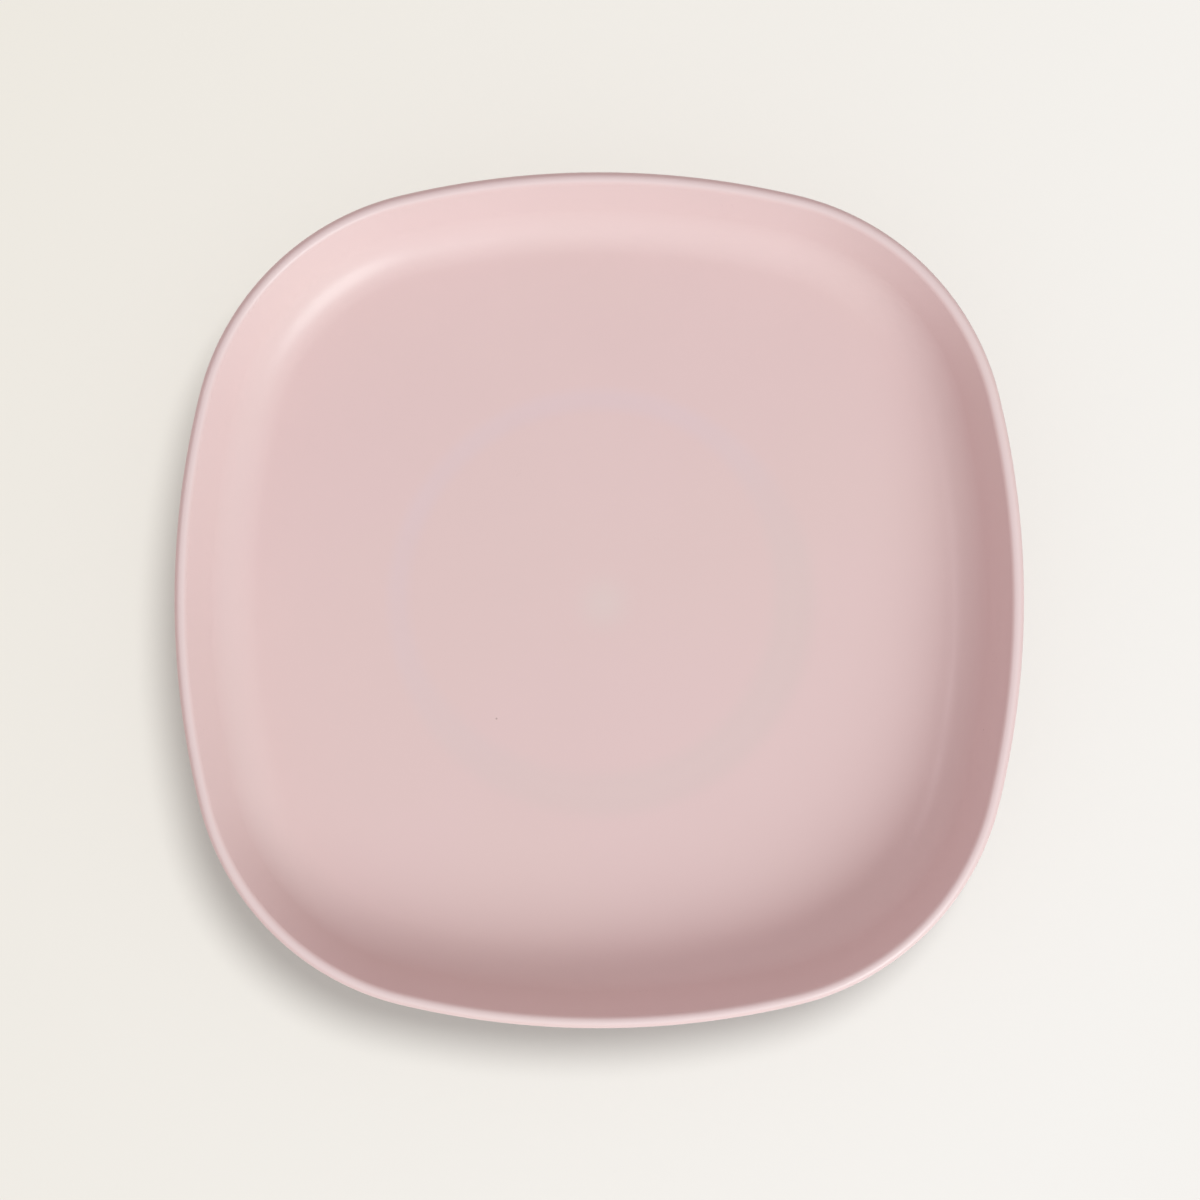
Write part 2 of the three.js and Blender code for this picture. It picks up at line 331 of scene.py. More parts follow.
def push(distance):
    """Extrude the selected face upwards, or downwards if negative."""
    bpy.ops.mesh.extrude_region_move(TRANSFORM_OT_translate={"value": (0, 0, distance)})


def narrow(radius, new_radius, rise=0.0):
    """Extrude the selected round face and draw it in to a smaller radius."""
    push(rise)
    scale = new_radius / radius
    bpy.ops.transform.resize(value=(scale, scale, 1), center_override=(0, 0, 0))


def close_with_disc(piece, radius, height):
    """Close the open loop at this height: extrude it inwards, round it to a circle and fill that."""
    pick(piece, 'EDGE', open_at(height))
    bpy.ops.mesh.extrude_edges_move()
    bpy.ops.transform.tosphere(value=1)
    mesh = bmesh.from_edit_mesh(piece.data)
    reach = max(corner.co.xy.length for corner in mesh.verts if corner.select)
    bpy.ops.transform.resize(value=(radius / reach, radius / reach, 1), center_override=(0, 0, height))
    bpy.ops.mesh.edge_face_add()


def cut_with(piece, tool, operation):
    """Boolean with a tool object, which is then removed."""
    pick_object(piece)
    modifier = piece.modifiers.new(tool.name, 'BOOLEAN')
    modifier.operation = operation
    modifier.object = tool
    modifier.solver = 'EXACT'
    bpy.ops.object.modifier_apply(modifier=modifier.name)
    bpy.data.objects.remove(tool)


def finish_piece(piece, material, node):
    """Smooth a closed piece, give it its finish and let it stand for its CAD node."""
    pick_object(piece)
    mesh = bmesh.new()
    mesh.from_mesh(piece.data)
    open_edges = [edge for edge in mesh.edges if not edge.is_manifold]
    volume = mesh.calc_volume(signed=True)
    mesh.free()
    if open_edges or volume <= 0:
        raise RuntimeError(f"{piece.name} has {len(open_edges)} open edges and a volume of {volume}")
    bpy.ops.object.shade_smooth_by_angle(angle=SMOOTH_BELOW)
    piece.data.materials.clear()
    piece.data.materials.append(material)
    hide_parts(node)
    clear_selection()


# Finishes

def new_group(name, numbers, outputs):
    """Empty shader node group that takes coordinates and numbers and puts out numbers."""
    group = bpy.data.node_groups.new(name, 'ShaderNodeTree')
    group.interface.new_socket("Coordinates", in_out='INPUT', socket_type='NodeSocketVector')
    for label, default in numbers.items():
        socket = group.interface.new_socket(label, in_out='INPUT', socket_type='NodeSocketFloat')
        socket.default_value = default
    for label in outputs:
        group.interface.new_socket(label, in_out='OUTPUT', socket_type='NodeSocketFloat')
    return group, group.nodes.new('NodeGroupInput').outputs, group.nodes.new('NodeGroupOutput').inputs


def add(tree, kind, **settings):
    """New node, with its properties set."""
    node = tree.nodes.new(kind)
    for key, value in settings.items():
        setattr(node, key, value)
    return node


def feed(tree, socket, source):
    """Link a source socket, or set a plain value."""
    if isinstance(source, bpy.types.NodeSocket):
        tree.links.new(source, socket)
    else:
        socket.default_value = source


def sum_up(tree, operation, first, second=None, third=None):
    """Math node on one, two or three sources."""
    node = add(tree, 'ShaderNodeMath', operation=operation)
    for socket, source in zip(node.inputs, (first, second, third)):
        if source is not None:
            feed(tree, socket, source)
    return node.outputs[0]


def vector_sum(tree, operation, first, second=None):
    """Vector math node on one or two sources."""
    node = add(tree, 'ShaderNodeVectorMath', operation=operation)
    feed(tree, node.inputs[0], first)
    if second is not None:
        feed(tree, node.inputs[1], second)
    return node.outputs["Value" if operation in {'DISTANCE', 'DOT_PRODUCT', 'LENGTH'} else "Vector"]


def axis_of(tree, coordinates, axis):
    """One axis of the coordinates."""
    node = add(tree, 'ShaderNodeSeparateXYZ')
    feed(tree, node.inputs[0], coordinates)
    return node.outputs[axis]


def ramp(tree, source, start, end, low=0.0, high=1.0, kind='SMOOTHSTEP'):
    """Step of a value from low at start to high at end, smooth or straight."""
    node = add(tree, 'ShaderNodeMapRange', interpolation_type=kind)
    for label, value in (("Value", source), ("From Min", start), ("From Max", end), ("To Min", low), ("To Max", high)):
        feed(tree, node.inputs[label], value)
    return node.outputs["Result"]


def mix_colour(tree, blend, factor, first, second):
    """Colour mix node."""
    node = add(tree, 'ShaderNodeMix', data_type='RGBA', blend_type=blend)
    feed(tree, node.inputs[0], factor)
    feed(tree, node.inputs[6], first)
    feed(tree, node.inputs[7], second)
    return node.outputs[2]


def tinted(tree, factor, base, tint):
    """A colour multiplied by a tint as far as the factor says."""
    return mix_colour(tree, 'MULTIPLY', factor, base, (*tint, 1))


def mixed_shaders(tree, factor, first, second, output):
    """Mix two shaders into the tree's output."""
    node = add(tree, 'ShaderNodeMixShader')
    for socket, source in zip(node.inputs, (factor, first.outputs[0], second.outputs[0])):
        feed(tree, socket, source)
    feed(tree, tree.nodes[output].inputs["Surface"], node.outputs[0])


def noise_of(group, coordinates, scale, detail):
    """Noise texture in a group."""
    node = add(group, 'ShaderNodeTexNoise')
    for label, source in (("Vector", coordinates), ("Scale", scale), ("Detail", detail)):
        feed(group, node.inputs[label], source)
    return node.outputs[0]


def grain_group():
    """Fine grain of a moulded surface: a height for bump and a mask for gloss."""
    patch_size = 25  # in grains
    group, given, out = new_group("Moulded grain", {"Grain size": 0.0003}, ["Height", "Mask"])
    fine = sum_up(group, 'DIVIDE', 1.0, given["Grain size"])
    coarse = sum_up(group, 'MULTIPLY', fine, 1 / patch_size)
    grain = noise_of(group, given["Coordinates"], fine, 2.0)
    half_patch = sum_up(group, 'MULTIPLY', noise_of(group, given["Coordinates"], coarse, 3.0), 0.5)
    feed(group, out["Height"], grain)
    feed(group, out["Mask"], sum_up(group, 'MULTIPLY_ADD', grain, 0.5, half_patch))
    return group


def cloud_group():
    """Slow change of tone over a moulding, about 1."""
    group, given, out = new_group("Slow tone", {"Cloud size": 0.04, "Strength": 0.02}, ["Tone"])
    scale = sum_up(group, 'DIVIDE', 1.0, given["Cloud size"])
    swing = sum_up(group, 'SUBTRACT', noise_of(group, given["Coordinates"], scale, 4.0), 0.5)
    feed(group, out["Tone"], sum_up(group, 'MULTIPLY_ADD', swing, given["Strength"], 1.0))
    return group


def speck_group():
    """Few round specks: one in each cell that is kept."""
    group, given, out = new_group("Specks", {"Spacing": 0.012, "Radius": 0.0002, "Kept": 0.2}, ["Mask"])
    cells = add(group, 'ShaderNodeTexVoronoi', feature='F1')
    feed(group, cells.inputs["Vector"], given["Coordinates"])
    feed(group, cells.inputs["Scale"], sum_up(group, 'DIVIDE', 1.0, given["Spacing"]))
    reach = sum_up(group, 'DIVIDE', given["Radius"], given["Spacing"])
    dot = sum_up(group, 'LESS_THAN', cells.outputs["Distance"], reach)
    parts = add(group, 'ShaderNodeSeparateColor')
    feed(group, parts.inputs[0], cells.outputs["Color"])
    kept = sum_up(group, 'LESS_THAN', parts.outputs[0], given["Kept"])
    feed(group, out["Mask"], sum_up(group, 'MULTIPLY', dot, kept))
    return group


def place(tree, group, **values):
    """Node for a group, with its inputs fed by name."""
    node = add(tree, 'ShaderNodeGroup', node_tree=group)
    for label, source in values.items():
        feed(tree, node.inputs[label.replace("_", " ")], source)
    return node


def group_of(name, make):
    """A shared group, made when it is first needed."""
    return bpy.data.node_groups.get(name) or make()


def start_finish(name):
    """Material with its shader and the object's coordinates."""
    material = bpy.data.materials.new(name)
    material.use_nodes = True
    tree = material.node_tree
    shader = tree.nodes["Principled BSDF"]
    coordinates = add(tree, 'ShaderNodeTexCoord').outputs["Object"]
    return material, tree, shader, coordinates


def clouds_of(tree, coordinates, size, strength):
    """Slow change of tone about 1."""
    node = place(
        tree, group_of("Slow tone", cloud_group), Coordinates=coordinates, Cloud_size=size, Strength=strength)
    return node.outputs["Tone"]


def specked(tree, base, coordinates, tint, spacing, radius, kept, strength):
    """A colour with a few specks in it."""
    specks = place(
        tree, group_of("Specks", speck_group), Coordinates=coordinates, Spacing=spacing, Radius=radius, Kept=kept)
    return mix_colour(
        tree, 'MIX', sum_up(tree, 'MULTIPLY', specks.outputs["Mask"], strength), base, (*tint, 1))


def moulded_surface(tree, shader, coordinates, grain_size, gloss, gloss_swing, bump_strength, bump_height):
    """Roughness and bump of fine mould grain."""
    grain = place(tree, group_of("Moulded grain", grain_group), Coordinates=coordinates, Grain_size=grain_size)
    feed(tree, shader.inputs["Roughness"], ramp(
        tree, grain.outputs["Mask"], 0.25, 0.75, gloss - gloss_swing, gloss + gloss_swing))
    bump = add(tree, 'ShaderNodeBump')
    bump.inputs["Strength"].default_value = bump_strength
    bump.inputs["Distance"].default_value = bump_height
    feed(tree, bump.inputs["Height"], grain.outputs["Height"])
    feed(tree, shader.inputs["Normal"], bump.outputs[0])


def marks(tree, sizes, finish, base, coordinates):
    """The plate's colour with the cooler marks over the foot ring and the gate."""
    broad_side = (0.57, -0.82, 0)  # direction in which the ring's mark is broadest
    broad_from, broad_to = -0.03, 0.035  # along that direction
    broad_shift = -0.0016  # of the ring's middle, where the mark is broad
    broad_wider = 0.0018  # half the width gained there
    level_share = 1 / 4  # of the ring's wall, before the mark fades
    fade_share = 0.7  # of the mark's half width, over which it fades
    spot_spread = 1.3  # of the spot's radius
    patch_size, patch_strength = 0.03, 3.0
    faintest = 0.55  # of the ring's mark
    flat = vector_sum(tree, 'MULTIPLY', coordinates, (1, 1, 0))
    front = ramp(tree, vector_sum(tree, 'DOT_PRODUCT', coordinates, broad_side), broad_from, broad_to)
    middle = sum_up(tree, 'MULTIPLY_ADD', front, broad_shift, sizes.ring_radius)
    off_ring = sum_up(tree, 'ABSOLUTE', sum_up(tree, 'SUBTRACT', vector_sum(tree, 'LENGTH', flat), middle))
    level = sum_up(tree, 'MULTIPLY_ADD', front, broad_wider, sizes.ring_wall * level_share)
    end = sum_up(tree, 'MULTIPLY_ADD', level, 2.0, sizes.mark_half_width * fade_share)
    ring = ramp(tree, off_ring, level, end, 1.0, 0.0)
    patches = ramp(tree, clouds_of(tree, coordinates, patch_size, patch_strength), 0.2, 1.4, faintest, 1.0)
    tint = mix_colour(tree, 'MIX', front, (*finish.mark_back, 1), (*finish.mark_front, 1))
    base = mix_colour(tree, 'MULTIPLY', sum_up(tree, 'MULTIPLY', ring, patches), base, tint)
    off_spot = vector_sum(tree, 'DISTANCE', flat, (sizes.spot_right, -sizes.spot_front, 0))
    spot = ramp(tree, off_spot, 0.0, sizes.spot_radius * spot_spread, 1.0, 0.0)
    return tinted(tree, spot, base, finish.spot_tint)


def satin_plastic(sizes, finish):
    """Satin moulded plastic with marks in the floor, a painted highlight on top of the rim and a few specks."""
    cloud_size, cloud_strength = 0.03, 0.03
    drift_size, drift_strength = 0.07, 5.0
    speck_shift = (-0.0396, 0.0160, 0)
    material, tree, shader, coordinates = start_finish("satin_plastic")
    clouds = clouds_of(tree, coordinates, cloud_size, cloud_strength)
    base = mix_colour(tree, 'MULTIPLY', 1.0, (*finish.plate_pink, 1), clouds)
    cooler = ramp(tree, clouds_of(tree, coordinates, drift_size, drift_strength), 0.4, 1.6)
    base = tinted(tree, cooler, base, finish.plate_cooler)
    base = marks(tree, sizes, finish, base, coordinates)
    # Painted highlight: the rim is tinted paler and cooler towards its top.
    rim = ramp(tree, axis_of(tree, coordinates, "Z"), sizes.rim_top - sizes.rim_highlight_fade, sizes.rim_top)
    base = tinted(tree, rim, base, finish.rim_highlight_tint)
    moved = vector_sum(tree, 'SUBTRACT', coordinates, speck_shift)
    base = specked(
        tree, base, moved, finish.plate_speck, spacing=0.013, radius=0.00024, kept=0.22, strength=0.7)
    feed(tree, shader.inputs["Base Color"], base)
    moulded_surface(
        tree, shader, coordinates, grain_size=0.00035, gloss=finish.plate_gloss, gloss_swing=0.05,
        bump_strength=0.12, bump_height=0.00006)
    shader.inputs["IOR"].default_value = 1.45
    shader.inputs["Specular IOR Level"].default_value = finish.plate_shine
    return material


def matt_silicone(finish):
    """Matt silicone with a soft bloom, fine mould grain and a little lint."""
    cloud_size, cloud_strength = 0.018, 0.06
    material, tree, shader, coordinates = start_finish("matt_silicone")
    clouds = clouds_of(tree, coordinates, cloud_size, cloud_strength)
    base = mix_colour(tree, 'MULTIPLY', 1.0, (*finish.silicone_pink, 1), clouds)
    base = specked(
        tree, base, coordinates, finish.silicone_lint, spacing=0.005, radius=0.00012, kept=0.3, strength=0.5)
    feed(tree, shader.inputs["Base Color"], base)
    moulded_surface(
        tree, shader, coordinates, grain_size=0.0005, gloss=finish.silicone_gloss, gloss_swing=0.08,
        bump_strength=0.25, bump_height=0.00008)
    shader.inputs["IOR"].default_value = 1.41
    shader.inputs["Sheen Weight"].default_value = 0.12
    shader.inputs["Sheen Roughness"].default_value = 0.5
    return material


def finish_of(name, make, *given):
    """A finish that several pieces share, made when it is first needed."""
    return bpy.data.materials.get(name) or make(*given)


def seen_rays(tree):
    """Mask for what the camera sees, directly, in a reflection or through a clear piece."""
    path = add(tree, 'ShaderNodeLightPath')
    mirrored = sum_up(tree, 'MAXIMUM', path.outputs["Is Glossy Ray"], path.outputs["Is Transmission Ray"])
    return sum_up(tree, 'MAXIMUM', path.outputs["Is Camera Ray"], mirrored)


def middle_tone(stage):
    """Tone that the floor has far away."""
    return [(left + right) / 2 for left, right in zip(stage.floor_left, stage.floor_right)]


def matt_floor(stage):
    """Pale matt floor with painted light: a little lighter to the front right. It can't be seen from below."""
    slant = -0.4  # how far the change of tone turns from right to front
    left_end, right_end = -0.2, 0.16  # of the change of tone
    near, far = 0.25, 1.5  # the tone turns even between these distances
    cloud_size, cloud_strength = 0.2, 0.01
    material, tree, shader, coordinates = start_finish("floor_paint")
    # Painted light: the tone turns from darker at the back left to lighter at the front right, and evens out far away.
    across = sum_up(
        tree, 'MULTIPLY_ADD', axis_of(tree, coordinates, "Y"), slant, axis_of(tree, coordinates, "X"))
    side = ramp(tree, across, left_end, right_end, kind='LINEAR')
    tone = mix_colour(tree, 'MIX', side, (*stage.floor_left, 1), (*stage.floor_right, 1))
    even = ramp(tree, vector_sum(tree, 'LENGTH', coordinates), near, far)
    tone = mix_colour(tree, 'MIX', even, tone, (*middle_tone(stage), 1))
    clouds = clouds_of(tree, coordinates, cloud_size, cloud_strength)
    tone = mix_colour(tree, 'MULTIPLY', 1.0, tone, clouds)
    feed(tree, shader.inputs["Base Color"], tinted(tree, 1.0, tone, [stage.floor_paint] * 3))
    shader.inputs["Roughness"].default_value = 0.9
    shader.inputs["Specular IOR Level"].default_value = 0.0
    feed(tree, shader.inputs["Emission Color"], tone)
    feed(tree, shader.inputs["Emission Strength"], sum_up(tree, 'MULTIPLY', seen_rays(tree), stage.floor_plain))
    below = add(tree, 'ShaderNodeNewGeometry').outputs["Backfacing"]
    mixed_shaders(tree, below, shader, add(tree, 'ShaderNodeBsdfTransparent'), "Material Output")
    return material


def even_sky(stage):
    """Even light from all sides, seen as a backdrop in the tone that the floor shows far away."""
    world = bpy.data.worlds.new("even_sky")
    world.use_nodes = True
    tree = world.node_tree
    light = tree.nodes["Background"]
    light.inputs["Color"].default_value = (*stage.sky_colour, 1)
    light.inputs["Strength"].default_value = stage.sky
    backdrop = add(tree, 'ShaderNodeBackground')
    sun = stage.floor_power * math.sin(stage.floor_height) / math.pi
    shown = [
        tone * (stage.floor_paint * (stage.sky * warmth + sun) + stage.floor_plain)
        for tone, warmth in zip(middle_tone(stage), stage.sky_colour)
    ]
    backdrop.inputs["Color"].default_value = (*shown, 1)
    mixed_shaders(tree, seen_rays(tree), light, backdrop, "World Output")
    return world


# Pieces

def finish_silicone(context, piece, node):
    """Finish one of the pieces of the silicone foot."""
    material = finish_of("matt_silicone", matt_silicone, context.scene.plate_finishes)
    finish_piece(piece, material, node)


def round_edges(size, segments=5):
    """Round the selected edges."""
    bpy.ops.mesh.bevel(offset=size, offset_type='OFFSET', segments=segments, profile=0.5, affect='EDGES')


class SUCTION_PLATE_OT_plate(bpy.types.Operator):
    """Spin the wall's section round the outline, then close it with the floor and the foot ring"""
    bl_idname = "suction_plate.plate"
    bl_label = "Plate"

    side_steps = 12  # half a side
    corner_steps = 40
    bend_steps = 18
    rim_steps = 24
    mark_steps = 12
    margin = 0.001  # flat strip beside the fillet

    def execute(self, context):
        sizes = context.scene.plate_sizes
        well_floor = sizes.rim_top - sizes.well_depth
        underside = well_floor - sizes.shell
        piece = self.wall(sizes, well_floor, underside)
        floor_radius = sizes.ring_radius + 2 * sizes.mark_half_width
        ring_out = sizes.ring_radius + sizes.ring_wall / 2
        close_with_disc(piece, floor_radius, well_floor)
        close_with_disc(piece, ring_out, underside)
        merge_corners()
        pick(piece, 'FACE', on_ring(floor_radius, well_floor))
        self.sink_marks(sizes, floor_radius)
        pick(piece, 'FACE', on_ring(ring_out, underside))
        self.foot_ring(sizes)
        self.round_ring(piece, sizes, underside)
        material = finish_of("satin_plastic", satin_plastic, sizes, context.scene.plate_finishes)
        finish_piece(piece, material, "plate_shell")
        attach(piece, "plate")
        return {'FINISHED'}

    def wall(self, sizes, well_floor, underside):
        """Section from the floor over the rim to the underside, spun round the arcs of the outline."""
        slope = sizes.wall_slope
        rim = at(sizes.width / 2 - sizes.rim_round / 2, sizes.rim_top - sizes.rim_round / 2)
        bend = self.bend_middle(sizes, rim, well_floor)
        outer = sizes.well_fillet + sizes.shell
        chain = Chain("moulded_plate", at(bend.x - self.margin, well_floor))
        chain.line(at(bend.x, well_floor))
        chain.arc(bend, slope, self.bend_steps)
        chain.line(polar(rim, sizes.rim_round / 2, slope + math.pi / 2))
        chain.arc(rim, -math.pi, self.rim_steps)
        chain.line(polar(bend, outer, slope - math.pi / 2))
        chain.arc(bend, -slope, self.bend_steps)
        chain.line(at(bend.x - self.margin, underside))
        bpy.ops.mesh.select_all(action='SELECT')
        for middle, turn, steps in self.outline_arcs(sizes):
            spin(middle, UP, turn, steps)
        merge_corners()
        return chain.piece

    def bend_middle(self, sizes, rim, well_floor):
        """Middle of the fillet, which touches the floor and the wall."""
        start = polar(rim, sizes.rim_round / 2 + sizes.well_fillet, sizes.wall_slope + math.pi / 2)
        drop = start.z - well_floor - sizes.well_fillet
        return start - at(drop / math.tan(sizes.wall_slope), drop)

    def outline_arcs(self, sizes):
        """Middle, turn and steps of each arc of the outline, once round from the middle of the right side."""
        right = Vector((sizes.width / 2 - sizes.side_radius, 0, 0))
        back = Vector((0, sizes.depth / 2 - sizes.side_radius, 0))
        across = back - right
        reach = sizes.side_radius - sizes.corner_radius
        rise = math.sqrt(reach ** 2 - across.length_squared / 4)
        corner = (right + back) / 2 + rise * Vector((-across.y, across.x, 0)).normalized()
        first = math.atan2((corner - right).y, (corner - right).x)
        last = math.atan2((corner - back).y, (corner - back).x)
        arcs = []
        for flip_x, flip_y, from_right in ((1, 1, True), (-1, 1, False), (-1, -1, True), (1, -1, False)):
            sides = ((right, first), (back, math.pi / 2 - last))
            start, end = sides if from_right else sides[::-1]
            flip = Matrix.Diagonal((flip_x, flip_y, 1))
            arcs.append((flip @ start[0], start[1], self.side_steps))
            arcs.append((flip @ corner, last - first, self.corner_steps))
            arcs.append((flip @ end[0], end[1], self.side_steps))
        return arcs

    def sink_marks(self, sizes, floor_radius):
        """Inset the floor's disc ring by ring, with the shallow sinks over the foot ring and the gate."""
        steps, half = self.mark_steps, sizes.mark_half_width
        radii = [sizes.ring_radius + half * (1 - 2 * step / steps) for step in range(steps + 1)]
        radii += [sizes.spot_radius * (1.5 - step / steps) for step in range(steps + 1)]
        last_radius, last_height = floor_radius, 0.0
        for radius in radii:
            height = -sizes.mark_sink * self.sink_share(sizes, radius)
            narrow(last_radius, radius, height - last_height)
            last_radius, last_height = radius, height
        bpy.ops.mesh.poke()

    def sink_share(self, sizes, radius):
        """How much of the full sink the floor has at this radius."""
        off_ring = abs(radius - sizes.ring_radius) / sizes.mark_half_width
        off_gate = max(0.0, radius / sizes.spot_radius - 0.5)
        nearest = min(off_ring, off_gate, 1.0)
        return (1 + math.cos(math.pi * nearest)) / 2

    def ring_radii(self, sizes):
        """Radii of the foot ring's inner and outer face."""
        return [sizes.ring_radius + side * sizes.ring_wall / 2 for side in (-1, 1)]

    def foot_ring(self, sizes):
        """Foot ring and gate dimple from the round face of the underside."""
        gate_mouth = sizes.gate_radius + sizes.gate_draft
        ring_in, ring_out = self.ring_radii(sizes)
        push(-sizes.ring_height)
        narrow(ring_out, ring_in)
        push(sizes.ring_height)
        narrow(ring_in, gate_mouth)
        narrow(gate_mouth, sizes.gate_radius, sizes.gate_depth)
        bpy.ops.mesh.poke()

    def round_ring(self, piece, sizes, underside):
        """Round the foot ring's lower edges and fillet its roots."""
        bottom = underside - sizes.ring_height
        for height, size in ((bottom, sizes.ring_edge), (underside, sizes.ring_root)):
            inner, outer = (on_ring(radius, height) for radius in self.ring_radii(sizes))
            pick(piece, 'EDGE', lambda edge: inner(edge) or outer(edge))
            round_edges(size)


class Channel:
    """Places that the silicone pieces share."""

    def __init__(self, plate, sizes):
        self.inner = plate.ring_radius - plate.ring_wall / 2 - sizes.clearance
        self.outer = plate.ring_radius + plate.ring_wall / 2 + sizes.clearance
        self.wall_in = self.inner - sizes.grip_wall
        self.wall_out = self.outer + sizes.grip_wall
        self.flare = at(self.wall_out + sizes.flare_radius, sizes.lip_edge + sizes.flare_radius)
        self.lip_out = self.flare.x + sizes.lip_edge / 2

    def flare_turn(self, radius, height):
        """Angle about the flare's middle at which a curve of this radius comes down to this height."""
        return math.pi + math.asin((self.flare.z - height) / radius)


class SUCTION_PLATE_OT_foot(bpy.types.Operator):
    """Revolve the silicone foot: channel, domed membrane and the upper part of the flare"""
    bl_idname = "suction_plate.foot"
    bl_label = "Silicone foot"

    turn_steps = 192
    curve_steps = 16

    def execute(self, context):
        sizes = context.scene.silicone_sizes
        channel = Channel(context.scene.plate_sizes, sizes)
        chain = self.section(sizes, channel)
        chain.revolve(self.turn_steps)
        dome_edge = sizes.base + sizes.membrane_lift
        inner, rim = on_ring(channel.inner, sizes.base), on_ring(channel.wall_in, dome_edge)
        pick(chain.piece, 'EDGE', lambda edge: inner(edge) or rim(edge))
        round_edges(sizes.base_edge)
        finish_silicone(context, chain.piece, "suction_foot")
        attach(chain.piece, "foot")
        return {'FINISHED'}

    def section(self, sizes, channel):
        """Section from the middle of the membrane's underside round the channel to the middle of its top."""
        dome_edge = sizes.base + sizes.membrane_lift
        radius = (channel.wall_in ** 2 + sizes.membrane_rise ** 2) / (2 * sizes.membrane_rise)
        dome = at(0, dome_edge + sizes.membrane_rise - radius)
        lower = math.acos(channel.wall_in / radius)
        upper = math.acos(channel.wall_in / (radius + sizes.membrane))
        bed = sizes.base + sizes.grip_floor
        edge = sizes.grip_edge
        flare_start = channel.flare_turn(sizes.flare_radius, sizes.base)
        quarter = math.pi / 2
        chain = Chain("silicone_foot", polar(dome, radius, quarter))
        chain.arc(dome, lower - quarter, self.curve_steps)
        chain.line(at(channel.inner, sizes.base), polar(channel.flare, sizes.flare_radius, flare_start))
        chain.arc(channel.flare, math.pi - flare_start, self.curve_steps)
        chain.line(at(channel.wall_out, sizes.top - edge))
        chain.arc(at(channel.wall_out - edge, sizes.top - edge), quarter, self.curve_steps // 2)
        chain.line(at(channel.outer, sizes.top), at(channel.outer, bed))
        chain.line(at(channel.inner, bed), at(channel.inner, sizes.top), at(channel.wall_in + edge, sizes.top))
        chain.arc(at(channel.wall_in + edge, sizes.top - edge), quarter, self.curve_steps // 2)
        chain.line(polar(dome, radius + sizes.membrane, upper))
        chain.arc(dome, quarter - upper, self.curve_steps)
        return chain


class SUCTION_PLATE_OT_lip(bpy.types.Operator):
    """Revolve the flared skirt that seals on the table"""
    bl_idname = "suction_plate.lip"
    bl_label = "Sealing lip"

    turn_steps = 192
    curve_steps = 16

    def execute(self, context):
        sizes = context.scene.silicone_sizes
        channel = Channel(context.scene.plate_sizes, sizes)
        flare, outside, inside = channel.flare, sizes.flare_radius, sizes.flare_radius + sizes.lip_thickness
        top_out, top_in = channel.flare_turn(outside, sizes.base), channel.flare_turn(inside, sizes.base)
        seat = channel.flare_turn(inside, 0)
        chain = Chain("silicone_lip", at(flare.x, 0))
        chain.arc(at(flare.x, sizes.lip_edge / 2), math.pi, self.curve_steps)
        chain.arc(flare, top_out - 1.5 * math.pi, self.curve_steps)
        chain.line(polar(flare, inside, top_in))
        chain.arc(flare, seat - top_in, self.curve_steps)
        chain.line(at(flare.x, 0))
        chain.revolve(self.turn_steps)
        finish_silicone(context, chain.piece, "suction_lip")
        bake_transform(chain.piece)
        return {'FINISHED'}


